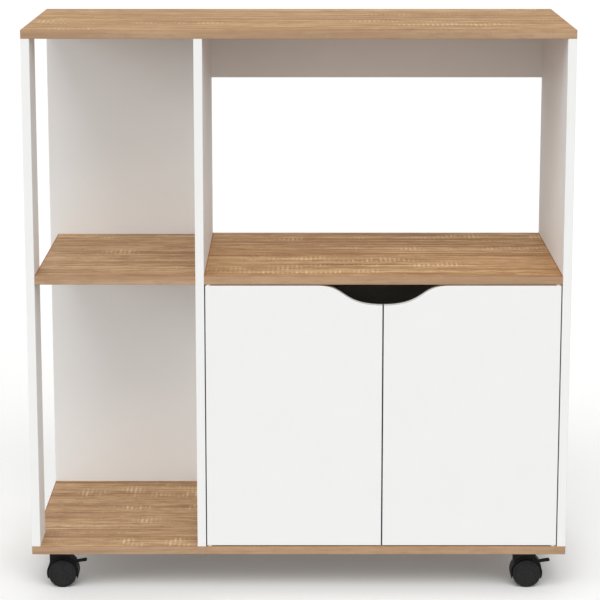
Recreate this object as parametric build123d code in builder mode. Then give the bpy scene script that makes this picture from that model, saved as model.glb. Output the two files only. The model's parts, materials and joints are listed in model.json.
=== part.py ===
from build123d import *
import os

# Kitchen trolley: oak-look boards, white panels, two inset doors, four twin-wheel casters.
# Origin: middle of the footprint on the floor. +X right, +Y to the back, +Z up. Millimetres.

os.makedirs("parts", exist_ok=True)

# Overall sizes
trolley_width = 760
trolley_depth = 350
board = 12
left_bay_width = 224
cabinet_height = 380
niche_height = 330
caster_height = 54
edge_round = 0.6

# Boards
post_depth = 68
crossbar_height = 90
back_sheet = 3
groove_depth = 4
groove_inset = 12

# Doors
door_thickness = 12
door_side_gap = 1.6
door_middle_gap = 2
door_end_gap = 1.5
door_hinge_round = 1.2
cutout_half_width = 93
cutout_depth = 28.5
cutout_top_pull = 43
cutout_bottom_pull = 61
pivot_inset = 4.2

# Door hinge hardware
pivot_pin_radius = 1.5
pivot_pin_in_door = 14
pivot_pin_in_bush = 6.5
bush_radius = 2.5
bush_depth = 8
bush_flange_radius = 3.5
bush_flange = 1.2

# Magnetic catches
catch_offset = 120
catch_length = 40
catch_depth = 13
catch_height = 13
catch_corner = 2
magnet_length = 20
magnet_depth = 8
magnet_height = 7
catch_screw_spread = 15
catch_screw_radius = 1.5
catch_screw_head_radius = 2.8
catch_screw_head = 1.8
catch_screw_bite = 8
catch_screw_slot = 3.2
strike_length = 28
strike_height = 9
strike_thickness = 1
strike_corner = 2.2
strike_gap = 0.3
prong_spread = 9
prong_radius = 1
prong_length = 6

# Fits
fit_clearance = 0.1
running_clearance = 0.05

# Dowels, cam fittings and assembly screws
dowel_radius = 3
dowel_in_face = 8
dowel_in_edge = 16
hole_end_gap = 0.5
cam_setback = 24
cam_radius = 6
cam_depth = 8.3
cam_sink = 1.2
cam_bolt_radius = 2.5
cam_bolt_in_top = 8
cam_bolt_past_centre = 3
screw_radius = 2.5
screw_length = 40
screw_head_radius = 4
screw_head = 3
screw_head_sink = 1.2
screw_socket = 4
screw_socket_depth = 2
slot_width = 0.9
slot_depth = 1
cap_thickness = 1

# Places of the fittings along the boards
post_dowel_spread = 20
panel_dowel_spread = 40
panel_cam_front = 120
panel_cam_rear = 100
panel_screw_spread = 110
back_dowel_margin = 35
back_fitting_margin = 80
shelf_dowel_spread = 90
shelf_screw_spread = 50
crossbar_cam_spread = 100
crossbar_dowel_spread = 180
crossbar_screw_margin = 25
back_edge_dowel_rises = (84, 234, 534)

# Casters
caster_inset_x = 47
caster_inset_y = 31
swivel_offset = 6
wheel_radius = 20
wheel_width = 11
wheel_round = 1.2
wheel_hub_radius = 6
wheel_rim = 3.4
wheel_disc = 5
wheel_groove = 0.5
wheel_groove_inset = 3.4
web_thickness = 10
web_gap = 1
axle_radius = 2.5
axle_end_cover = 2
axle_end_gap = 0.3
plate_side = 38
plate_thickness = 2
plate_corner = 4
plate_hole_spacing = 26
kingpin_radius = 3.5
kingpin_neck_radius = 2.5
kingpin_length = 19
washer_radius = 9
washer_thickness = 1.4
washer_gap = 0.1
kingpin_end_gap = 0.5
hood_width = 24
hood_wall = 1.8
hood_wheel_gap = 1
hood_drop = 7.7
block_width = 18
block_reach_left = 18.6
block_reach_right = 13
block_slope_reach = 19
block_slope_drop = 8
block_round = 2
caster_screw_radius = 1.75
caster_screw_head_radius = 3.2
caster_screw_head = 1.6
caster_screw_bite = 7.5
caster_screw_slot = 3.6

# Brake on the front casters, placed from the axle as seen from the front
brake_pivot_x = 14.3
brake_pivot_z = 18.4
brake_hub_radius = 2.2
brake_pin_radius = 1
brake_pin_cover = 1
brake_cheek = 1.6
brake_side_gap = 0.3
brake_pocket_drop = 0.6
brake_pocket_reach = 4
shoe_bottom = 9.7
shoe_top = 14.8
shoe_rise = 2.05
shoe_thickness = 1.5
shoe_travel = 1.4
shoe_end_gap = 0.8
pedal_root_x = 17.7
pedal_root_z = 14.4
pedal_bead_x = 32.5
pedal_bead_z = 16.7
pedal_bead_radius = 1.6
pedal_thickness = 2.8
pedal_width = 7

# Levels
base_bottom = caster_height
base_top = base_bottom + board
shelf_bottom = base_top + cabinet_height
shelf_top = shelf_bottom + board
worktop_bottom = shelf_top + niche_height
upright_height = worktop_bottom - base_top
shelf_middle = shelf_bottom + board / 2

# Planes across the trolley
left_face = -trolley_width / 2
right_face = trolley_width / 2
front_face = -trolley_depth / 2
rear_face = trolley_depth / 2
post_inner = left_face + board
divider_left = post_inner + left_bay_width
divider_right = divider_left + board
side_inner = right_face - board
back_front = rear_face - board
cabinet_width = side_inner - divider_right
cabinet_middle = (side_inner + divider_right) / 2
post_x = left_face + board / 2
post_y = front_face + post_depth / 2
divider_x = divider_left + board / 2
side_x = side_inner + board / 2
rear_y = back_front + board / 2

# Back sheet in its grooves
groove_y = rear_face - groove_inset - back_sheet / 2
groove_width = back_sheet + 2 * fit_clearance
sheet_bite = groove_depth - 2 * fit_clearance

# Door places
door_bottom = base_top + door_end_gap
door_top = shelf_bottom - door_end_gap
left_door_edge = divider_right + door_side_gap
right_door_edge = side_inner - door_side_gap
left_pivot_x = left_door_edge + pivot_inset
right_pivot_x = right_door_edge - pivot_inset
pivot_y = front_face + pivot_inset
pivot_points = [(left_pivot_x, pivot_y), (right_pivot_x, pivot_y)]

# Catch places
strike_front = front_face + door_thickness
catch_front = strike_front + strike_thickness + strike_gap
catch_middle_y = catch_front + catch_depth / 2
catch_middle_z = shelf_bottom - catch_height / 2
catch_xs = [cabinet_middle - catch_offset, cabinet_middle + catch_offset]
catch_screw_xs = [x + s * catch_screw_spread for x in catch_xs for s in (-1, 1)]

# Dowel places: on plan for upright edges, and (y, z) for the ends of boards
back_dowel_xs = [left_face + back_dowel_margin, divider_left - back_dowel_margin]
back_fitting_xs = [left_face + back_fitting_margin, divider_left - back_fitting_margin]
post_dowels = [(post_x, post_y + s * post_dowel_spread) for s in (-1, 1)]
divider_dowels = [(divider_x, s * panel_dowel_spread) for s in (-1, 1)]
side_dowels = [(side_x, s * panel_dowel_spread) for s in (-1, 1)]
back_dowels = [(x, rear_y) for x in back_dowel_xs]
crossbar_dowels = [(cabinet_middle + s * crossbar_dowel_spread, rear_y) for s in (-1, 1)]
base_dowels = post_dowels + back_dowels + divider_dowels + side_dowels
worktop_dowels = base_dowels + crossbar_dowels
shelf_dowels = [(s * shelf_dowel_spread, shelf_middle) for s in (-1, 1)]
back_edge_dowels = [(rear_y, base_top + rise) for rise in back_edge_dowel_rises]

# Cam fitting places
post_cams = [(post_x, post_y)]
divider_cams = [(divider_x, -panel_cam_front), (divider_x, panel_cam_rear)]
side_cams = [(side_x, -panel_cam_front), (side_x, panel_cam_rear)]
back_cams = [(x, rear_y) for x in back_fitting_xs]
crossbar_cams = [(cabinet_middle + s * crossbar_cam_spread, rear_y) for s in (-1, 1)]
worktop_cams = post_cams + divider_cams + side_cams + back_cams + crossbar_cams
cam_z = worktop_bottom - cam_setback

# Screw places
post_base_screws = [(post_x, post_y)]
back_base_screws = [(x, rear_y) for x in back_fitting_xs]
divider_base_screws = [(divider_x, s * panel_screw_spread) for s in (-1, 1)]
side_base_screws = [(side_x, s * panel_screw_spread) for s in (-1, 1)]
base_screws = post_base_screws + back_base_screws + divider_base_screws + side_base_screws
shelf_screws = [(s * shelf_screw_spread, shelf_middle) for s in (-1, 1)]
crossbar_bottom = worktop_bottom - crossbar_height
crossbar_screws = [
    (rear_y, worktop_bottom - crossbar_screw_margin),
    (rear_y, crossbar_bottom + crossbar_screw_margin),
]
cabinet_screws = shelf_screws + crossbar_screws
post_screws = [(post_y, shelf_middle)]
back_screws = [(x, shelf_middle) for x in back_fitting_xs]

# Hole sizes that follow from the fasteners
dowel_hole = dowel_radius + fit_clearance
dowel_face_hole = dowel_in_face + hole_end_gap
dowel_edge_hole = dowel_in_edge + hole_end_gap
dowel_length = dowel_in_face + dowel_in_edge
cam_bolt_hole = cam_bolt_radius + fit_clearance
cam_bolt_edge_hole = cam_setback + cam_bolt_past_centre + hole_end_gap
cam_bolt_top_hole = cam_bolt_in_top + hole_end_gap
cam_hole = cam_radius + fit_clearance
cam_hole_depth = cam_sink + cam_depth + fit_clearance
screw_hole = screw_radius + fit_clearance
screw_head_hole = screw_head_radius + fit_clearance
screw_head_depth = screw_head_sink + screw_head + fit_clearance
screw_reach = screw_head_sink + screw_length
screw_edge_hole = screw_reach - board + hole_end_gap
bush_hole = bush_radius + fit_clearance
bush_hole_depth = bush_depth + fit_clearance
pin_hole = pivot_pin_radius + fit_clearance
pin_hole_depth = pivot_pin_in_door + hole_end_gap

# A round feature grows from its start point along the plane's normal
from_start = (Align.CENTER, Align.CENTER, Align.MIN)


def facing(point, direction):
    """Plane at a point whose normal runs along a direction, with its own X level."""
    across = (0, 1, 0) if direction[0] else (1, 0, 0)
    return Plane(origin=point, x_dir=across, z_dir=direction)


def bore(points, direction, radius, depth):
    """Round holes cut from points on a face, along a direction."""
    for point in points:
        with Locations(facing(point, direction)):
            Cylinder(radius, depth, align=from_start, mode=Mode.SUBTRACT)


def peg(points, direction, radius, length):
    """Round pegs added from points, along a direction."""
    for point in points:
        with Locations(facing(point, direction)):
            Cylinder(radius, length, align=from_start)


def sunk(points, direction, depth):
    """The points moved into a face by a depth."""
    return [Vector(point) + Vector(direction) * depth for point in points]


def cross_slots(points, direction, length):
    """Crossed driver slots cut into screw heads."""
    for point in points:
        with Locations(facing(point, direction)):
            Box(length, slot_width, slot_depth, align=from_start, mode=Mode.SUBTRACT)
            Box(slot_width, length, slot_depth, align=from_start, mode=Mode.SUBTRACT)


def screw_clearance(points, direction):
    """Counterbored holes through a board for the assembly screws."""
    bore(points, direction, screw_head_hole, screw_head_depth)
    bore(points, direction, screw_hole, board)


def at_z(points, z):
    return [(x, y, z) for x, y in points]


def at_x(points, x):
    return [(x, y, z) for y, z in points]


def at_y(points, y):
    return [(x, y, z) for x, z in points]


def slab(x_low, x_high, y_low, y_high, z_low, height):
    """Square-cut board between the given faces."""
    middle = ((x_low + x_high) / 2, (y_low + y_high) / 2, z_low)
    with BuildSketch(Plane(origin=middle)) as outline:
        Rectangle(x_high - x_low, y_high - y_low)
    extrude(outline.sketch, amount=height)


def save(piece, name):
    piece.part.label = name
    export_step(piece.part, f"parts/{name}.step")


# Worktop: covers all uprights, so its fittings run down from its underside
with BuildPart() as worktop:
    slab(left_face, right_face, front_face, rear_face, worktop_bottom, board)
    fillet(worktop.edges(), edge_round)
    bore(at_z(worktop_dowels, worktop_bottom), (0, 0, 1), dowel_hole, dowel_face_hole)
    bore(at_z(worktop_cams, worktop_bottom), (0, 0, 1), cam_bolt_hole, cam_bolt_top_hole)
save(worktop, "worktop")

# Casters: swivel axes and the screw holes around them
caster_x = right_face - caster_inset_x
caster_y = rear_face - caster_inset_y
casters = [
    ("front_left", -caster_x, -caster_y, True),
    ("front_right", caster_x, -caster_y, True),
    ("rear_left", -caster_x, caster_y, False),
    ("rear_right", caster_x, caster_y, False),
]
plate_holes = [(x * plate_hole_spacing / 2, y * plate_hole_spacing / 2) for x in (-1, 1) for y in (-1, 1)]
caster_screws = [(sx + dx, sy + dy) for _, sx, sy, _ in casters for dx, dy in plate_holes]
caster_screw_hole = caster_screw_radius + fit_clearance

# Bottom board: everything stands on it, and the casters are screwed under it
with BuildPart() as bottom_board:
    slab(left_face, right_face, front_face, rear_face, base_bottom, board)
    fillet(bottom_board.edges(), edge_round)
    bore(at_z(base_dowels, base_top), (0, 0, -1), dowel_hole, dowel_face_hole)
    screw_clearance(at_z(base_screws, base_bottom), (0, 0, 1))
    bore(at_z(pivot_points, base_top), (0, 0, -1), bush_hole, bush_hole_depth)
    bore(at_z(caster_screws, base_bottom), (0, 0, 1), caster_screw_hole, caster_screw_bite + hole_end_gap)
    with BuildSketch(Plane(origin=(cabinet_middle, groove_y, base_top))):
        Rectangle(cabinet_width + 2 * groove_depth, groove_width)
    extrude(amount=-groove_depth, mode=Mode.SUBTRACT)
save(bottom_board, "bottom_board")

# Left front post
with BuildPart() as left_front_post:
    slab(left_face, post_inner, front_face, front_face + post_depth, base_top, upright_height)
    fillet(left_front_post.edges().filter_by(Axis.Z), edge_round)
    bore(at_z(post_dowels, base_top), (0, 0, 1), dowel_hole, dowel_edge_hole)
    bore(at_z(post_dowels, worktop_bottom), (0, 0, -1), dowel_hole, dowel_edge_hole)
    bore(at_z(post_base_screws, base_top), (0, 0, 1), screw_hole, screw_edge_hole)
    bore(at_z(post_cams, worktop_bottom), (0, 0, -1), cam_bolt_hole, cam_bolt_edge_hole)
    bore([(post_inner, post_y, cam_z)], (-1, 0, 0), cam_hole, cam_hole_depth)
    screw_clearance(at_x(post_screws, left_face), (1, 0, 0))
save(left_front_post, "left_front_post")

# Left back panel: closes the back of the open left bay
with BuildPart() as left_back_panel:
    slab(left_face, divider_left, back_front, rear_face, base_top, upright_height)
    fillet(left_back_panel.edges().filter_by(Axis.Z).group_by(Axis.X)[0], edge_round)
    bore(at_z(back_dowels, base_top), (0, 0, 1), dowel_hole, dowel_edge_hole)
    bore(at_z(back_dowels, worktop_bottom), (0, 0, -1), dowel_hole, dowel_edge_hole)
    bore(at_z(back_base_screws, base_top), (0, 0, 1), screw_hole, screw_edge_hole)
    bore(at_z(back_cams, worktop_bottom), (0, 0, -1), cam_bolt_hole, cam_bolt_edge_hole)
    bore([(x, rear_face, cam_z) for x in back_fitting_xs], (0, -1, 0), cam_hole, cam_hole_depth)
    bore(at_x(back_edge_dowels, divider_left), (-1, 0, 0), dowel_hole, dowel_edge_hole)
    screw_clearance(at_y(back_screws, rear_face), (0, -1, 0))
save(left_back_panel, "left_back_panel")

# Divider panel between the left bay and the cabinet
with BuildPart() as divider_panel:
    slab(divider_left, divider_right, front_face, rear_face, base_top, upright_height)
    fillet(divider_panel.edges().filter_by(Axis.Z), edge_round)
    bore(at_z(divider_dowels, base_top), (0, 0, 1), dowel_hole, dowel_edge_hole)
    bore(at_z(divider_dowels, worktop_bottom), (0, 0, -1), dowel_hole, dowel_edge_hole)
    bore(at_z(divider_base_screws, base_top), (0, 0, 1), screw_hole, screw_edge_hole)
    bore(at_z(divider_cams, worktop_bottom), (0, 0, -1), cam_bolt_hole, cam_bolt_edge_hole)
    bore([(divider_left, y, cam_z) for _, y in divider_cams], (1, 0, 0), cam_hole, cam_hole_depth)
    bore(at_x(shelf_dowels + back_edge_dowels, divider_left), (1, 0, 0), dowel_hole, dowel_face_hole)
    screw_clearance(at_x(cabinet_screws, divider_left), (1, 0, 0))
    with BuildSketch(Plane(origin=(divider_right, groove_y, base_top))):
        Rectangle(2 * groove_depth, groove_width)
    extrude(amount=cabinet_height + groove_depth, mode=Mode.SUBTRACT)
save(divider_panel, "divider_panel")

# Right side panel
with BuildPart() as right_side_panel:
    slab(side_inner, right_face, front_face, rear_face, base_top, upright_height)
    fillet(right_side_panel.edges().filter_by(Axis.Z), edge_round)
    bore(at_z(side_dowels, base_top), (0, 0, 1), dowel_hole, dowel_edge_hole)
    bore(at_z(side_dowels, worktop_bottom), (0, 0, -1), dowel_hole, dowel_edge_hole)
    bore(at_z(side_base_screws, base_top), (0, 0, 1), screw_hole, screw_edge_hole)
    bore(at_z(side_cams, worktop_bottom), (0, 0, -1), cam_bolt_hole, cam_bolt_edge_hole)
    bore([(side_inner, y, cam_z) for _, y in side_cams], (1, 0, 0), cam_hole, cam_hole_depth)
    bore(at_x(shelf_dowels, side_inner), (1, 0, 0), dowel_hole, dowel_face_hole)
    screw_clearance(at_x(cabinet_screws, right_face), (-1, 0, 0))
    with BuildSketch(Plane(origin=(side_inner, groove_y, base_top))):
        Rectangle(2 * groove_depth, groove_width)
    extrude(amount=cabinet_height + groove_depth, mode=Mode.SUBTRACT)
save(right_side_panel, "right_side_panel")

# Left shelf: from the post to the divider, up to the back panel
with BuildPart() as left_shelf:
    slab(post_inner, divider_left, front_face, back_front, shelf_bottom, board)
    fillet(left_shelf.edges().filter_by(Axis.X).group_by(Axis.Y)[0], edge_round)
    bore(at_x(shelf_dowels, divider_left), (-1, 0, 0), dowel_hole, dowel_edge_hole)
    bore(at_x(post_screws, post_inner), (1, 0, 0), screw_hole, screw_edge_hole)
    bore(at_y(back_screws, back_front), (0, -1, 0), screw_hole, screw_edge_hole)
save(left_shelf, "left_shelf")

# Cabinet-top shelf: floor of the open niche and roof of the cabinet
with BuildPart() as cabinet_top_shelf:
    slab(divider_right, side_inner, front_face, rear_face, shelf_bottom, board)
    fillet(cabinet_top_shelf.edges().filter_by(Axis.X), edge_round)
    bore(at_x(shelf_screws, divider_right), (1, 0, 0), screw_hole, screw_edge_hole)
    bore(at_x(shelf_screws, side_inner), (-1, 0, 0), screw_hole, screw_edge_hole)
    bore(at_x(shelf_dowels, side_inner), (-1, 0, 0), dowel_hole, dowel_edge_hole)
    bore(at_z(pivot_points, shelf_bottom), (0, 0, 1), bush_hole, bush_hole_depth)
    bore(
        [(x, catch_middle_y, shelf_bottom) for x in catch_screw_xs],
        (0, 0, 1),
        catch_screw_radius + fit_clearance,
        catch_screw_bite + hole_end_gap,
    )
    with BuildSketch(Plane(origin=(cabinet_middle, groove_y, shelf_bottom))):
        Rectangle(cabinet_width, groove_width)
    extrude(amount=groove_depth, mode=Mode.SUBTRACT)
save(cabinet_top_shelf, "cabinet_top_shelf")

# Rear crossbar at the top of the niche
with BuildPart() as rear_crossbar:
    slab(divider_right, side_inner, back_front, rear_face, crossbar_bottom, crossbar_height)
    fillet(rear_crossbar.edges().filter_by(Axis.X).group_by(Axis.Z)[0], edge_round)
    bore(at_z(crossbar_dowels, worktop_bottom), (0, 0, -1), dowel_hole, dowel_edge_hole)
    bore(at_z(crossbar_cams, worktop_bottom), (0, 0, -1), cam_bolt_hole, cam_bolt_edge_hole)
    bore([(x, rear_face, cam_z) for x, _ in crossbar_cams], (0, -1, 0), cam_hole, cam_hole_depth)
    bore(at_x(crossbar_screws, divider_right), (1, 0, 0), screw_hole, screw_edge_hole)
    bore(at_x(crossbar_screws, side_inner), (-1, 0, 0), screw_hole, screw_edge_hole)
save(rear_crossbar, "rear_crossbar")

# Cabinet back: thin sheet held in grooves on all four sides
with BuildPart() as cabinet_back:
    slab(
        divider_right - sheet_bite,
        side_inner + sheet_bite,
        groove_y - back_sheet / 2,
        groove_y + back_sheet / 2,
        base_top - sheet_bite,
        cabinet_height + 2 * sheet_bite,
    )
save(cabinet_back, "cabinet_back")

# Doors: inset, with one finger cut-out shared across the middle gap
doors = [
    ("left", left_door_edge, 1, left_pivot_x, catch_xs[0]),
    ("right", right_door_edge, -1, right_pivot_x, catch_xs[1]),
]
for side_name, hinge_edge, inward, pivot_x, catch_x in doors:
    hinge_end = 0 if inward > 0 else -1
    free_edge = cabinet_middle - inward * door_middle_gap / 2
    cutout_start = cabinet_middle - inward * cutout_half_width
    cutout_floor = door_top - cutout_depth
    strike_points = [(catch_x + s * prong_spread, strike_front, catch_middle_z) for s in (-1, 1)]

    with BuildPart() as door:
        slab(
            min(hinge_edge, free_edge),
            max(hinge_edge, free_edge),
            front_face,
            front_face + door_thickness,
            door_bottom,
            door_top - door_bottom,
        )
        hinge_edges = door.edges().filter_by(Axis.Z).group_by(Axis.X)[hinge_end]
        fillet(hinge_edges.sort_by(Axis.Y)[0], door_hinge_round)
        with BuildSketch(Plane.XZ.offset(-front_face)):
            with BuildLine():
                Bezier(
                    (cutout_start, door_top),
                    (cutout_start + inward * cutout_top_pull, door_top),
                    (cabinet_middle - inward * cutout_bottom_pull, cutout_floor),
                    (cabinet_middle, cutout_floor),
                )
                Line((cabinet_middle, cutout_floor), (cabinet_middle, door_top))
                Line((cabinet_middle, door_top), (cutout_start, door_top))
            make_face()
        extrude(amount=-door_thickness, mode=Mode.SUBTRACT)
        front_edges = door.faces().sort_by(Axis.Y)[0].edges()
        fillet(front_edges - front_edges.group_by(Axis.X)[hinge_end], edge_round)
        bore([(pivot_x, pivot_y, door_top)], (0, 0, -1), pin_hole, pin_hole_depth)
        bore([(pivot_x, pivot_y, door_bottom)], (0, 0, 1), pin_hole, pin_hole_depth)
        bore(strike_points, (0, -1, 0), prong_radius + fit_clearance, prong_length + hole_end_gap)
    save(door, f"{side_name}_door")

    # Pivot pins stand out of the door's ends into the bushes
    pin_length = pivot_pin_in_door + door_end_gap + pivot_pin_in_bush
    with BuildPart() as pivot_pins:
        peg([(pivot_x, pivot_y, door_top - pivot_pin_in_door)], (0, 0, 1), pivot_pin_radius, pin_length)
        peg([(pivot_x, pivot_y, door_bottom + pivot_pin_in_door)], (0, 0, -1), pivot_pin_radius, pin_length)
    save(pivot_pins, f"{side_name}_door_pivot_pins")

    # Strike plate for the catch, pressed into the door's back on two prongs
    with BuildPart() as strike_plate:
        with BuildSketch(facing((catch_x, strike_front, catch_middle_z), (0, 1, 0))):
            RectangleRounded(strike_length, strike_height, strike_corner)
        extrude(amount=strike_thickness)
        peg(strike_points, (0, -1, 0), prong_radius, prong_length)
    save(strike_plate, f"{side_name}_strike_plate")

# Bushes that the pivot pins turn in, two under the shelf and two in the bottom board
bush_bore = pivot_pin_radius + running_clearance
with BuildPart() as pivot_bushes:
    for face_z, direction in ((shelf_bottom, 1), (base_top, -1)):
        seats = at_z(pivot_points, face_z)
        flange_starts = at_z(pivot_points, face_z - direction * bush_flange)
        peg(seats, (0, 0, direction), bush_radius, bush_depth)
        peg(flange_starts, (0, 0, direction), bush_flange_radius, bush_flange)
        bore(flange_starts, (0, 0, direction), bush_bore, bush_flange + bush_depth)
save(pivot_bushes, "pivot_bushes")

# Magnetic catches screwed under the shelf, behind the door tops
magnet_points = [(x, catch_front, catch_middle_z) for x in catch_xs]
catch_screw_heads = [(x, catch_middle_y, shelf_bottom - catch_height) for x in catch_screw_xs]
with BuildPart() as catch_housings:
    for x in catch_xs:
        with BuildSketch(Plane(origin=(x, catch_middle_y, shelf_bottom - catch_height))):
            RectangleRounded(catch_length, catch_depth, catch_corner)
        extrude(amount=catch_height)
    for point in magnet_points:
        with BuildSketch(facing(point, (0, 1, 0))):
            Rectangle(magnet_length + 2 * fit_clearance, magnet_height + 2 * fit_clearance)
        extrude(amount=magnet_depth + fit_clearance, mode=Mode.SUBTRACT)
    bore(catch_screw_heads, (0, 0, 1), catch_screw_head_radius + fit_clearance,
         catch_screw_head + fit_clearance)
    bore(catch_screw_heads, (0, 0, 1), catch_screw_radius + fit_clearance, catch_height)
save(catch_housings, "catch_housings")

with BuildPart() as catch_magnets:
    for point in magnet_points:
        with BuildSketch(facing(point, (0, 1, 0))):
            Rectangle(magnet_length, magnet_height)
        extrude(amount=magnet_depth)
save(catch_magnets, "catch_magnets")

with BuildPart() as catch_screws:
    peg(catch_screw_heads, (0, 0, 1), catch_screw_head_radius, catch_screw_head)
    peg(catch_screw_heads, (0, 0, 1), catch_screw_radius, catch_height + catch_screw_bite)
    cross_slots(catch_screw_heads, (0, 0, 1), catch_screw_slot)
save(catch_screws, "catch_screws")

# Dowels: each starts in the edge of one board and ends in the face of another
with BuildPart() as dowels:
    peg(at_z(worktop_dowels, worktop_bottom - dowel_in_edge), (0, 0, 1), dowel_radius, dowel_length)
    peg(at_z(base_dowels, base_top + dowel_in_edge), (0, 0, -1), dowel_radius, dowel_length)
    peg(at_x(shelf_dowels + back_edge_dowels, divider_left - dowel_in_edge), (1, 0, 0),
        dowel_radius, dowel_length)
    peg(at_x(shelf_dowels, side_inner - dowel_in_edge), (1, 0, 0), dowel_radius, dowel_length)
save(dowels, "dowels")

# Cam bolts hang from the worktop into the uprights
cam_bolt_length = cam_bolt_in_top + cam_setback + cam_bolt_past_centre
cam_bolt_tops = at_z(worktop_cams, worktop_bottom + cam_bolt_in_top)
with BuildPart() as cam_bolts:
    peg(cam_bolt_tops, (0, 0, -1), cam_bolt_radius, cam_bolt_length)
save(cam_bolts, "cam_bolts")

# Cam locks: round housings sunk into the uprights, each with a bore for its bolt
cam_openings = [
    ([(post_inner, post_y, cam_z)], (-1, 0, 0)),
    ([(divider_left, y, cam_z) for _, y in divider_cams], (1, 0, 0)),
    ([(side_inner, y, cam_z) for _, y in side_cams], (1, 0, 0)),
    ([(x, rear_face, cam_z) for x, _ in back_cams + crossbar_cams], (0, -1, 0)),
]
with BuildPart() as cam_locks:
    for points, direction in cam_openings:
        peg(sunk(points, direction, cam_sink), direction, cam_radius, cam_depth)
    bore(cam_bolt_tops, (0, 0, -1), cam_bolt_hole, cam_bolt_length + fit_clearance)
save(cam_locks, "cam_locks")

# White caps pressed in over the cam locks, flush with the boards
with BuildPart() as cam_caps:
    for points, direction in cam_openings:
        peg(points, direction, cam_radius, cap_thickness)
save(cam_caps, "cam_caps")

# Assembly screws: a head sunk under the face, and a shank into the next board's edge
covered_screws = [
    (at_z(base_screws, base_bottom), (0, 0, 1)),
    (at_x(cabinet_screws, divider_left), (1, 0, 0)),
]
capped_screws = [
    (at_x(cabinet_screws, right_face), (-1, 0, 0)),
    (at_x(post_screws, left_face), (1, 0, 0)),
    (at_y(back_screws, rear_face), (0, -1, 0)),
]
with BuildPart() as assembly_screws:
    for points, direction in covered_screws + capped_screws:
        heads = sunk(points, direction, screw_head_sink)
        peg(heads, direction, screw_head_radius, screw_head)
        peg(heads, direction, screw_radius, screw_length)
        for head in heads:
            with BuildSketch(facing(head, direction)):
                RegularPolygon(screw_socket / 2, 6, major_radius=False)
            extrude(amount=screw_socket_depth, mode=Mode.SUBTRACT)
save(assembly_screws, "assembly_screws")

# White caps over the screw heads that can be seen
with BuildPart() as screw_caps:
    for points, direction in capped_screws:
        peg(points, direction, screw_head_radius, cap_thickness)
save(screw_caps, "screw_caps")

# Heights inside a caster
plate_bottom = base_bottom - plate_thickness
washer_bottom = plate_bottom - washer_thickness
hood_top = washer_bottom - washer_gap
axle_z = wheel_radius
hood_inner_radius = wheel_radius + hood_wheel_gap
hood_radius = hood_inner_radius + hood_wall
block_top = hood_top - axle_z
wheel_inner = web_thickness / 2 + web_gap
wheel_outer = wheel_inner + wheel_width
axle_half = wheel_outer - axle_end_cover
wheel_bore = axle_radius + running_clearance
hub_bore_end = axle_half + axle_end_gap
rim_radius = wheel_radius - wheel_rim
groove_radius = wheel_radius - wheel_groove_inset
slope_top = block_top - block_slope_drop
slope_bottom = slope_top - (block_slope_reach - block_reach_right)
shoe_inner = wheel_radius + shoe_rise
shoe_outer = shoe_inner + shoe_thickness
pocket_floor = wheel_radius - brake_pocket_drop
pocket_reach = hood_radius + brake_pocket_reach
pocket_bottom = shoe_bottom - shoe_travel
pocket_top = shoe_top + shoe_end_gap
pocket_width = hood_width - 2 * brake_cheek
shoe_width = pocket_width - 2 * brake_side_gap
lever_slot_width = pedal_width + 2 * brake_side_gap
hub_room = brake_hub_radius + brake_side_gap
lever_slot_left = brake_pivot_x - hub_room
brake_pin_length = block_width - brake_pin_cover

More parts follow.
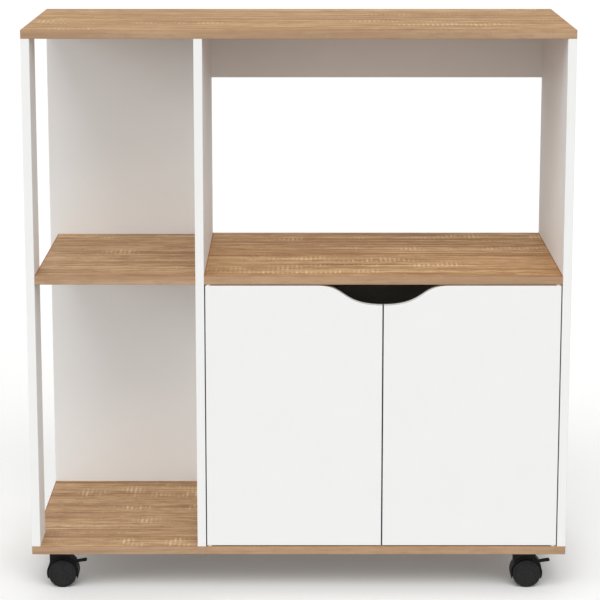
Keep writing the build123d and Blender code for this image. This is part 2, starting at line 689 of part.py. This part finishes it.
for name, stem_x, stem_y, braked in casters:
    # Seen from the front: the axle is the middle of this plane
    axle_x = stem_x - swivel_offset
    axle_point = (axle_x, stem_y, axle_z)
    front_view = Plane(origin=axle_point, x_dir=(1, 0, 0), z_dir=(0, -1, 0))
    side_view = Plane(origin=axle_point, x_dir=(0, 1, 0), z_dir=(1, 0, 0))
    screw_points = [(stem_x + dx, stem_y + dy, plate_bottom) for dx, dy in plate_holes]

    # Top plate with four countersunk holes, and a neck hole for the kingpin
    with BuildPart() as plate:
        with BuildSketch(Plane(origin=(stem_x, stem_y, plate_bottom))):
            RectangleRounded(plate_side, plate_side, plate_corner)
        extrude(amount=plate_thickness)
        bore(screw_points, (0, 0, 1), caster_screw_hole, plate_thickness)
        with Locations(*screw_points):
            Cone(caster_screw_head_radius + fit_clearance, caster_screw_hole, caster_screw_head,
                 align=from_start, mode=Mode.SUBTRACT)
        bore([(stem_x, stem_y, plate_bottom)], (0, 0, 1), kingpin_neck_radius + fit_clearance,
             plate_thickness)
    save(plate, f"{name}_caster_plate")

    # Kingpin riveted into the plate; the hood swivels on it
    with BuildPart() as kingpin:
        peg([(stem_x, stem_y, plate_bottom)], (0, 0, -1), kingpin_radius, kingpin_length)
        peg([(stem_x, stem_y, plate_bottom)], (0, 0, 1), kingpin_neck_radius, plate_thickness)
    save(kingpin, f"{name}_caster_kingpin")

    # Hood: arch over both wheels, swivel block on top, web between the wheels
    with BuildPart() as hood:
        with BuildSketch(front_view):
            Circle(hood_radius)
            with Locations((0, -hood_drop)):
                Rectangle(2 * hood_radius, hood_radius, align=(Align.CENTER, Align.MAX), mode=Mode.SUBTRACT)
        extrude(amount=hood_width / 2, both=True)
        with BuildSketch(front_view) as block_profile:
            with BuildLine():
                Polyline(
                    (-block_reach_left, 0),
                    (-block_reach_left, block_top),
                    (block_reach_right, block_top),
                    (block_reach_right, slope_top),
                    (block_slope_reach, slope_bottom),
                    (block_slope_reach, 0),
                    close=True,
                )
            make_face()
            fillet(block_profile.vertices().group_by(Axis.Z)[1:], block_round)
        extrude(amount=block_width / 2, both=True)
        with BuildSketch(front_view):
            Circle(hood_inner_radius)
        extrude(amount=hood_width / 2, both=True, mode=Mode.SUBTRACT)
        with BuildSketch(front_view):
            Circle(hood_radius)
            with Locations((0, -hood_drop)):
                Rectangle(2 * hood_radius, hood_radius, align=(Align.CENTER, Align.MAX), mode=Mode.SUBTRACT)
        extrude(amount=web_thickness / 2, both=True)
        if braked:
            # Pocket for the shoe, narrow slot for hub and pedal, blind hole for the pin
            with BuildSketch(front_view):
                with Locations((0, pocket_bottom)):
                    Rectangle(pocket_reach, pocket_top - pocket_bottom, align=Align.MIN)
                Circle(pocket_floor, mode=Mode.SUBTRACT)
            extrude(amount=pocket_width / 2, both=True, mode=Mode.SUBTRACT)
            with BuildSketch(front_view):
                with Locations((lever_slot_left, pocket_bottom)):
                    Rectangle(pocket_reach - lever_slot_left, brake_pivot_z - pocket_bottom, align=Align.MIN)
                with Locations((brake_pivot_x, pocket_bottom)):
                    Rectangle(pocket_reach - brake_pivot_x, slope_top - pocket_bottom, align=Align.MIN)
                with Locations((brake_pivot_x, brake_pivot_z)):
                    Circle(hub_room)
                Circle(pocket_floor, mode=Mode.SUBTRACT)
            extrude(amount=lever_slot_width / 2, both=True, mode=Mode.SUBTRACT)
            with BuildSketch(front_view.offset(-block_width / 2)):
                with Locations((brake_pivot_x, brake_pivot_z)):
                    Circle(brake_pin_radius + fit_clearance)
            extrude(amount=brake_pin_length, mode=Mode.SUBTRACT)
        bore([(stem_x, stem_y, hood_top)], (0, 0, -1), kingpin_radius + running_clearance,
             hood_top - plate_bottom + kingpin_length + kingpin_end_gap)
        with BuildSketch(front_view):
            Circle(axle_radius + fit_clearance)
        extrude(amount=web_thickness / 2, both=True, mode=Mode.SUBTRACT)
    save(hood, f"{name}_caster_hood")

    # Axle through the web; each wheel's blind hub turns on one end of it
    with BuildPart() as axle:
        with BuildSketch(front_view):
            Circle(axle_radius)
        extrude(amount=axle_half, both=True)
    save(axle, f"{name}_caster_axle")

    # Two wheels: closed disc outside, hub and rim inside
    for wheel_name, toward in (("front", -1), ("back", 1)):
        with BuildPart() as wheel:
            with BuildSketch(side_view):
                with BuildLine():
                    Polyline(
                        (toward * hub_bore_end, 0),
                        (toward * wheel_outer, 0),
                        (toward * wheel_outer, groove_radius - wheel_groove),
                        (toward * (wheel_outer - wheel_groove), groove_radius),
                        (toward * wheel_outer, groove_radius + wheel_groove),
                        (toward * wheel_outer, wheel_radius - wheel_round),
                        (toward * (wheel_outer - wheel_round), wheel_radius),
                        (toward * (wheel_inner + wheel_round), wheel_radius),
                        (toward * wheel_inner, wheel_radius - wheel_round),
                        (toward * wheel_inner, rim_radius),
                        (toward * (wheel_outer - wheel_disc), rim_radius),
                        (toward * (wheel_outer - wheel_disc), wheel_hub_radius),
                        (toward * wheel_inner, wheel_hub_radius),
                        (toward * wheel_inner, wheel_bore),
                        (toward * hub_bore_end, wheel_bore),
                        close=True,
                    )
                make_face()
            revolve(axis=Axis(axle_point, (0, 1, 0)))
        save(wheel, f"{name}_caster_{wheel_name}_wheel")

    if braked:
        # Brake lever: shoe over both treads, neck up to the hub on the pin, slim pedal
        with BuildPart() as lever:
            with BuildSketch(front_view):
                with Locations((0, shoe_bottom)):
                    Rectangle(shoe_outer, shoe_top - shoe_bottom, align=Align.MIN)
                Circle(shoe_outer, mode=Mode.INTERSECT)
                Circle(shoe_inner, mode=Mode.SUBTRACT)
            extrude(amount=shoe_width / 2, both=True)
            with BuildSketch(front_view):
                with Locations((brake_pivot_x, brake_pivot_z)):
                    Circle(brake_hub_radius)
                with Locations((pedal_root_x, pedal_root_z)):
                    Circle(pedal_thickness / 2)
                make_hull()
            extrude(amount=pedal_width / 2, both=True)
            with BuildSketch(front_view):
                with Locations((pedal_root_x, pedal_root_z)):
                    Circle(pedal_thickness / 2)
                with Locations((pedal_bead_x, pedal_bead_z)):
                    Circle(pedal_bead_radius)
                make_hull()
            extrude(amount=pedal_width / 2, both=True)
            with BuildSketch(front_view):
                with Locations((brake_pivot_x, brake_pivot_z)):
                    Circle(brake_pin_radius + running_clearance)
            extrude(amount=pedal_width / 2, both=True, mode=Mode.SUBTRACT)
        save(lever, f"{name}_brake_lever")

        # Pin pushed in from the rear of the block, through the hub
        with BuildPart() as brake_pin:
            with BuildSketch(front_view.offset(-block_width / 2)):
                with Locations((brake_pivot_x, brake_pivot_z)):
                    Circle(brake_pin_radius)
            extrude(amount=brake_pin_length)
        save(brake_pin, f"{name}_brake_pin")

# Swivel washers between each plate and its hood
stems = [(x, y) for _, x, y, _ in casters]
with BuildPart() as swivel_washers:
    peg(at_z(stems, washer_bottom), (0, 0, 1), washer_radius, washer_thickness)
    bore(at_z(stems, washer_bottom), (0, 0, 1), kingpin_radius + fit_clearance, washer_thickness)
save(swivel_washers, "swivel_washers")

# Countersunk screws that hold the plates under the bottom board
caster_screw_starts = at_z(caster_screws, plate_bottom)
with BuildPart() as caster_plate_screws:
    with Locations(*caster_screw_starts):
        Cone(caster_screw_head_radius, caster_screw_radius, caster_screw_head, align=from_start)
    peg(caster_screw_starts, (0, 0, 1), caster_screw_radius, plate_thickness + caster_screw_bite)
    cross_slots(caster_screw_starts, (0, 0, 1), caster_screw_slot)
save(caster_plate_screws, "caster_plate_screws")
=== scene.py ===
import json
import math

import bpy
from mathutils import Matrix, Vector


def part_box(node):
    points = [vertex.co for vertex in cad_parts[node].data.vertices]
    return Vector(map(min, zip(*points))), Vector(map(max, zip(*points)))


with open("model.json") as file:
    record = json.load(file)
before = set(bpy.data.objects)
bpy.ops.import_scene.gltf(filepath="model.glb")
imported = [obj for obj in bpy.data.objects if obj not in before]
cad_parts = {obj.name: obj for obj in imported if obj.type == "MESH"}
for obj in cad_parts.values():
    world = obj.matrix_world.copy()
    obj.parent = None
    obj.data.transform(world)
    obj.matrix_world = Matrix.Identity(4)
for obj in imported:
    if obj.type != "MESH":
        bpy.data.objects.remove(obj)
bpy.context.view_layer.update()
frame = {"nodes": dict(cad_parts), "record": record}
pieces = frame["nodes"]
slotOf = {part["node"]: part["material_slot"] for part in frame["record"]["subparts"]}
print("frame loaded:", len(pieces), "pieces")

mm = 0.001


def linear(hexCode):
    shares = [int(hexCode[start:start + 2], 16) / 255 for start in (1, 3, 5)]
    return [s / 12.92 if s <= 0.04045 else ((s + 0.055) / 1.055) ** 2.4 for s in shares] + [1]


def addNode(tree, kind, settings, links):
    node = tree.nodes.new(kind)
    for name, value in settings.items():
        setattr(node, name, value)
    for socket, value in links.items():
        if isinstance(value, bpy.types.NodeSocket):
            tree.links.new(value, node.inputs[socket])
        else:
            node.inputs[socket].default_value = value
    return node


def calculate(tree, operation, first, second):
    return addNode(tree, "ShaderNodeMath", {"operation": operation}, {0: first, 1: second}).outputs[0]


def calculateVector(tree, operation, first, second):
    return addNode(tree, "ShaderNodeVectorMath", {"operation": operation}, {0: first, 1: second}).outputs[0]


def splitAxes(tree, vector):
    return addNode(tree, "ShaderNodeSeparateXYZ", {}, {0: vector}).outputs


def remap(tree, value, fromSpan, toSpan):
    return addNode(tree, "ShaderNodeMapRange", {}, {
        "Value": value, "From Min": fromSpan[0], "From Max": fromSpan[1],
        "To Min": toSpan[0], "To Max": toSpan[1]}).outputs[0]


def blend(tree, share, under, over):
    return addNode(tree, "ShaderNodeMix", {"data_type": "RGBA"}, {0: share, 6: under, 7: over}).outputs[2]


def startFinish(name, surface):
    material = bpy.data.materials.new(name)
    material.use_nodes = True
    tree = material.node_tree
    shader = tree.nodes["Principled BSDF"]
    for socket, value in surface.items():
        shader.inputs[socket].default_value = value
    return material, tree, shader


def roughen(tree, shader, grain, grainSpan, roughness, bumpShare, bumpMm):
    tree.links.new(remap(tree, grain, grainSpan, roughness), shader.inputs["Roughness"])
    bump = addNode(tree, "ShaderNodeBump", {}, {
        "Height": grain, "Strength": bumpShare, "Distance": bumpMm * mm})
    tree.links.new(bump.outputs[0], shader.inputs["Normal"])


# Oak-decor melamine: a paper print of rough-sawn oak pressed under clear matt resin.
# It gives a tan face with brown streaks and pale flecks, and hardly any gloss.
# Rows of pale saw ticks stand across the grain.
oak = {
    "surface": {"IOR": 1.5, "Specular IOR Level": 0.04},
    "tan": "#d6b38b",
    # layers of the print: length along the grain and width across it in mm, then fine detail
    "layers": {
        "tone": (320, 45, 2),
        "streak": (380, 16, 6),
        "fibre": (30, 6, 4),
        "vein": (520, 9, 5),
        "glow": (320, 12, 5),
        "fleck": (9, 5, 2),
        "row": (420, 60, 1),
        "cluster": (60, 60, 1),
        "breaks": (9, 30, 1),
    },
    "layerRoughness": 0.68,
    # layer, where its colour starts, where it is full, its share there, its colour
    "tones": [
        ("tone", 0.36, 0.64, 0.60, "#b48d69"),
        ("streak", 0.44, 0.64, 0.80, "#987152"),
        ("glow", 0.50, 0.66, 0.75, "#e4c69e"),
        ("fibre", 0.46, 0.66, 0.60, "#8e694c"),
        ("vein", 0.56, 0.66, 0.75, "#7f5742"),
        ("fleck", 0.65, 0.72, 0.65, "#ead4ac"),
    ],
    # the spans say where a layer lets the ticks start to show and where they show in full
    "ticks": {
        "spacingMm": 6.7, "waver": 0.9, "waverScale": 0.4, "waverDetail": 1, "pale": "#ead2aa", "share": 0.85,
        "spans": {"row": (0.52, 0.60), "cluster": (0.47, 0.62), "breaks": (0.30, 0.60)},
    },
    # saturation and value of some boards' faces: the stronger saturation is their stretch of the print; the
    # value is painted shade on the worktop, which the lamps light strongly, and painted light on the shelf
    # deep in the dim niche
    "printToneAndPaintedLight": {"worktop": (1.12, 0.90), "cabinet_top_shelf": (1.13, 1.03)},
    "edge": "#b09175", "edgeShare": 0.70,
    # thin brown line at the borders: the banding's joint, and painted contact shade where panels meet the
    # board
    "seamAndContactShade": "#a5652f", "seamAndContactShadeShare": 0.8, "seamAndContactShadeMm": 1.3, "seamAndContactShadeFade": 1.4,
    "backedBoard": "bottom_board", "backing": "#9a8f85",
    # how far along and across the print, in m, each board lies from the one before it
    "printShift": (0.73, 0.41, 0.0),
    # a face counts as flat, or as an end, where its normal's part along that axis is larger than this
    "squareOn": 0.6,
    "roughness": (0.55, 0.70), "roughnessSpan": (0.30, 0.70), "bumpMm": 0.05, "bumpShare": 0.3,
}
wavesPerTau = 20  # a wave texture repeats this often in 2 pi at scale one


def placeInPrint(tree, spot, onEnd, order):
    # on the ends the banding's grain runs along the end, so X and Y change places there
    axes = splitAxes(tree, spot)
    swapped = addNode(tree, "ShaderNodeCombineXYZ", {}, {0: axes["Y"], 1: axes["X"], 2: axes["Z"]})
    along = addNode(tree, "ShaderNodeMix", {"data_type": "VECTOR"}, {
        0: onEnd, 4: spot, 5: swapped.outputs[0]})
    # each board is cut from another stretch of the print
    shift = [share * order for share in oak["printShift"]]
    return calculateVector(tree, "ADD", along.outputs[1], shift)


def printLayers(tree, place):
    layers = {}
    for layer, (lengthMm, widthMm, detail) in oak["layers"].items():
        cellsPerMetre = (1 / (lengthMm * mm), 1 / (widthMm * mm), 1 / (widthMm * mm))
        noise = addNode(tree, "ShaderNodeTexNoise", {}, {
            "Vector": calculateVector(tree, "MULTIPLY", place, cellsPerMetre),
            "Scale": 1, "Detail": detail, "Roughness": oak["layerRoughness"]})
        layers[layer] = noise.outputs["Fac"]
    return layers


def tickShare(tree, place, layers, onFlat):
    # saw ticks stand in clusters on the faces, and the clusters line up in rows along the grain
    ticks = oak["ticks"]
    wave = addNode(tree, "ShaderNodeTexWave", {"bands_direction": "X"}, {
        "Vector": place, "Scale": math.tau / wavesPerTau / (ticks["spacingMm"] * mm),
        "Distortion": ticks["waver"], "Detail": ticks["waverDetail"], "Detail Scale": ticks["waverScale"]})
    share = calculate(tree, "MULTIPLY", onFlat, ticks["share"])
    share = calculate(tree, "MULTIPLY", share, wave.outputs["Fac"])
    for layer, span in ticks["spans"].items():
        share = remap(tree, layers[layer], span, (0, share))
    return share


def seamAndContactShadeShare(tree, name, spot, onFlat):
    # a thin brown line around the faces: the joint of the edge banding at free edges, and painted contact
    # shade where panels and the back stand against the board
    low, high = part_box(name)
    fromLow = calculateVector(tree, "SUBTRACT", spot, low)
    fromHigh = calculateVector(tree, "SUBTRACT", high, spot)
    inside = splitAxes(tree, calculateVector(tree, "MINIMUM", fromLow, fromHigh))
    toBorder = calculate(tree, "MINIMUM", inside["X"], inside["Y"])
    seamAndShadeWidth = oak["seamAndContactShadeMm"] * mm
    fullShare = calculate(tree, "MULTIPLY", onFlat, oak["seamAndContactShadeShare"])
    return remap(tree, toBorder, (seamAndShadeWidth, oak["seamAndContactShadeFade"] * seamAndShadeWidth), (fullShare, 0))


def oakDecor(name, order):
    material, tree, shader = startFinish("oak_decor_" + name, oak["surface"])
    spot = addNode(tree, "ShaderNodeTexCoord", {}, {}).outputs["Object"]
    facing = addNode(tree, "ShaderNodeNewGeometry", {}, {}).outputs["Normal"]
    turn = addNode(tree, "ShaderNodeVectorMath", {"operation": "ABSOLUTE"}, {0: facing})
    turned = splitAxes(tree, turn.outputs[0])
    onEnd = calculate(tree, "GREATER_THAN", turned["X"], oak["squareOn"])
    onFlat = calculate(tree, "GREATER_THAN", turned["Z"], oak["squareOn"])
    place = placeInPrint(tree, spot, onEnd, order)
    layers = printLayers(tree, place)

    colour = linear(oak["tan"])
    for layer, low, high, share, hexCode in oak["tones"]:
        amount = remap(tree, layers[layer], (low, high), (0, share))
        colour = blend(tree, amount, colour, linear(hexCode))
    colour = blend(tree, tickShare(tree, place, layers, onFlat), colour, linear(oak["ticks"]["pale"]))
    # print tone, with painted shade on the worktop's faces and painted light on the niche shelf's faces
    if name in oak["printToneAndPaintedLight"]:
        saturation, value = oak["printToneAndPaintedLight"][name]
        colour = addNode(tree, "ShaderNodeHueSaturation", {}, {
            "Fac": onFlat, "Saturation": saturation, "Value": value, "Color": colour}).outputs[0]
    # edge banding is calmer than the faces
    edgeShare = remap(tree, onFlat, (0, 1), (oak["edgeShare"], 0))
    colour = blend(tree, edgeShare, colour, linear(oak["edge"]))
    # banding joint line, with painted contact shade along the borders where panels meet the board
    colour = blend(tree, seamAndContactShadeShare(tree, name, spot, onFlat), colour, linear(oak["seamAndContactShade"]))
    if name == oak["backedBoard"]:
        # the side towards the floor has plain backing paper instead of the print
        onUnder = calculate(tree, "LESS_THAN", splitAxes(tree, facing)["Z"], -oak["squareOn"])
        colour = blend(tree, onUnder, colour, linear(oak["backing"]))
    tree.links.new(colour, shader.inputs["Base Color"])

    roughen(tree, shader, layers["fibre"], oak["roughnessSpan"], oak["roughness"],
            oak["bumpShare"], oak["bumpMm"])
    return material


# The plainer finishes share one build: a base colour clouded by a second one, and a fine grain
# that varies the roughness and dimples the surface.
# White melamine is resin-coated paper pressed with a pearl grain: clean neutral white, almost matt.
# Lacquered hardboard is rolled with thin white paint over fibres: a little duller and faintly mottled.
# Beech is turned to round pins: pinkish tan with short darker flecks.
# Polystyrene is injection moulded: bright white with a soft shine.
# Ferrite is sintered: near black, dull and granular.
# Zinc-plated steel is a bright grey metal, clouded a little by its passivation.
# Glass-filled nylon is moulded with a spark-eroded grain: deep black and matt, greyer on the wheels.
# The pearl, moulding and spark grains are finer than a pixel, so they are drawn about three times as coarse.
plainFinishes = {
    "white_board": {
        "name": "white_melamine", "colour": "#f2f2f1", "cloud": "#dedcd8", "cloudShare": 0.06,
        "cloudMm": (60, 60, 60), "grainMm": 3, "roughness": (0.50, 0.60), "bumpMm": 0.02,
        "surface": {"IOR": 1.5, "Specular IOR Level": 0.05}},
    "white_hardboard": {
        "name": "lacquered_hardboard", "colour": "#ecebe7", "cloud": "#d6d2ca", "cloudShare": 0.08,
        "cloudMm": (14, 14, 14), "grainMm": 2.5, "roughness": (0.50, 0.65), "bumpMm": 0.04,
        "surface": {"IOR": 1.48, "Specular IOR Level": 0.05}},
    "beech": {
        "name": "turned_beech", "colour": "#d6b088", "cloud": "#b5875c", "cloudShare": 0.6,
        "cloudMm": (1.2, 1.2, 6), "grainMm": 1, "roughness": (0.50, 0.65), "bumpMm": 0.05,
        "surface": {"IOR": 1.5}},
    "white_plastic": {
        "name": "moulded_polystyrene", "colour": "#f4f4f1", "cloud": "#e2e1dc", "cloudShare": 0.3,
        "cloudMm": (8, 8, 8), "grainMm": 1, "roughness": (0.32, 0.42), "bumpMm": 0.01,
        "surface": {"IOR": 1.55}},
    "magnet": {
        "name": "sintered_ferrite", "colour": "#2d2d30", "cloud": "#454549", "cloudShare": 0.8,
        "cloudMm": (1, 1, 1), "grainMm": 0.6, "roughness": (0.55, 0.75), "bumpMm": 0.05,
        "surface": {"IOR": 2.0}},
    "zinc_steel": {
        "name": "zinc_plated_steel", "colour": "#c9ccd0", "cloud": "#a9adb2", "cloudShare": 1,
        "cloudMm": (4, 4, 4), "grainMm": 1.5, "roughness": (0.25, 0.42), "bumpMm": 0.01,
        "surface": {"Metallic": 1}},
    "black_nylon": {
        "name": "black_glass_filled_nylon", "colour": "#141414", "cloud": "#232323", "cloudShare": 0.6,
        "cloudMm": (5, 5, 5), "grainMm": 1.2, "roughness": (0.45, 0.60), "bumpMm": 0.03,
        "surface": {"IOR": 1.53, "Specular IOR Level": 0.15}},
    "wheel_nylon": {
        "name": "grey_black_nylon", "colour": "#1e1e1e", "cloud": "#2b2b2b", "cloudShare": 0.6,
        "cloudMm": (5, 5, 5), "grainMm": 1.2, "roughness": (0.50, 0.65), "bumpMm": 0.03,
        "surface": {"IOR": 1.53, "Specular IOR Level": 0.15}},
}
plainNoise = {
    "cloudDetail": 2, "cloudSpan": (0.35, 0.65), "grainDetail": 1, "grainSpan": (0.3, 0.7), "bumpShare": 0.2,
}


def plainFinish(recipe):
    material, tree, shader = startFinish(recipe["name"], recipe["surface"])
    spot = addNode(tree, "ShaderNodeTexCoord", {}, {}).outputs["Object"]
    cellsPerMetre = [1 / (size * mm) for size in recipe["cloudMm"]]
    clouds = addNode(tree, "ShaderNodeTexNoise", {}, {
        "Vector": calculateVector(tree, "MULTIPLY", spot, cellsPerMetre),
        "Scale": 1, "Detail": plainNoise["cloudDetail"]})
    amount = remap(tree, clouds.outputs["Fac"], plainNoise["cloudSpan"], (0, recipe["cloudShare"]))
    colour = blend(tree, amount, linear(recipe["colour"]), linear(recipe["cloud"]))
    tree.links.new(colour, shader.inputs["Base Color"])

    grain = addNode(tree, "ShaderNodeTexNoise", {}, {
        "Vector": spot, "Scale": 1 / (recipe["grainMm"] * mm), "Detail": plainNoise["grainDetail"]})
    roughen(tree, shader, grain.outputs["Fac"], plainNoise["grainSpan"], recipe["roughness"],
            plainNoise["bumpShare"], recipe["bumpMm"])
    return material


finishOf = {slot: plainFinish(recipe) for slot, recipe in plainFinishes.items()}
for order, (name, piece) in enumerate(sorted(pieces.items())):
    piece.data.materials.clear()
    if slotOf[name] == "oak_board":
        piece.data.materials.append(oakDecor(name, order))
    else:
        piece.data.materials.append(finishOf[slotOf[name]])
print("finishes set")

# Studio: pale floor, white surroundings and soft lamps.
# A lamp is placed by its azimuth, from the front towards the right, and its height above the floor.
studio = {
    "floorSide": 60, "floor": "#fbfbfa",
    # a faint glow keeps the far floor as white as the surroundings
    "floorSurface": {"Roughness": 0.9, "Specular IOR Level": 0.1, "Emission Strength": 0.03},
    "worldStrength": 0.44,
    "lamps": {
        "front_high_softbox": {"azimuthDeg": 0, "heightDeg": 50, "spreadDeg": 40, "strength": 1.12},
        "front_low_softbox": {"azimuthDeg": 0, "heightDeg": 10, "spreadDeg": 60, "strength": 0.51},
        "left_softbox": {"azimuthDeg": -65, "heightDeg": 18, "spreadDeg": 40, "strength": 0.83},
        "right_softbox": {"azimuthDeg": 45, "heightDeg": 24, "spreadDeg": 40, "strength": 0.42},
        "back_softbox": {"azimuthDeg": 180, "heightDeg": 35, "spreadDeg": 60, "strength": 0.82},
    },
}
floorMesh = bpy.data.meshes.new("studio_floor")
half = studio["floorSide"] / 2
corners = [(-half, -half, 0), (half, -half, 0), (half, half, 0), (-half, half, 0)]
floorMesh.from_pydata(corners, [], [(0, 1, 2, 3)])
floor = bpy.data.objects.new("studio_floor", floorMesh)
bpy.context.scene.collection.objects.link(floor)
# the floor takes shadows but throws no light back, so the shade under the oak base stays neutral
floor.visible_diffuse = False
floorPaint = {"Base Color": linear(studio["floor"]), **studio["floorSurface"]}
floorMesh.materials.append(startFinish("studio_floor_paint", floorPaint)[0])

world = bpy.data.worlds.new("studio_white")
bpy.context.scene.world = world
world.use_nodes = True
# the surroundings look as white as the floor, but light the trolley only a little
seen = addNode(world.node_tree, "ShaderNodeLightPath", {}, {}).outputs["Is Camera Ray"]
brightness = remap(world.node_tree, seen, (0, 1), (studio["worldStrength"], 1))
background = world.node_tree.nodes["Background"]
background.inputs["Color"].default_value = (1, 1, 1, 1)
world.node_tree.links.new(brightness, background.inputs["Strength"])

for name, lamp in studio["lamps"].items():
    lampData = bpy.data.lights.new(name, "SUN")
    lampData.energy = lamp["strength"]
    lampData.angle = math.radians(lamp["spreadDeg"])
    lampObject = bpy.data.objects.new(name, lampData)
    lampObject.rotation_euler = (math.radians(90 - lamp["heightDeg"]), 0, math.radians(lamp["azimuthDeg"]))
    bpy.context.scene.collection.objects.link(lampObject)

# Camera at the photograph's height and distance, pitched down to frame the trolley
photoView = {"place": (0.0018, -3.4399, 1.0960), "pitchDeg": 11.625, "lens": 143.4, "sensor": 36}
cameraData = bpy.data.cameras.new("photo_camera")
cameraData.lens = photoView["lens"]
cameraData.sensor_width = photoView["sensor"]
camera = bpy.data.objects.new("photo_camera", cameraData)
camera.location = photoView["place"]
camera.rotation_euler = (math.radians(90 - photoView["pitchDeg"]), 0, 0)
bpy.context.scene.collection.objects.link(camera)
bpy.context.scene.camera = camera
bpy.context.scene.view_settings.view_transform = "Standard"
print("studio and camera set")
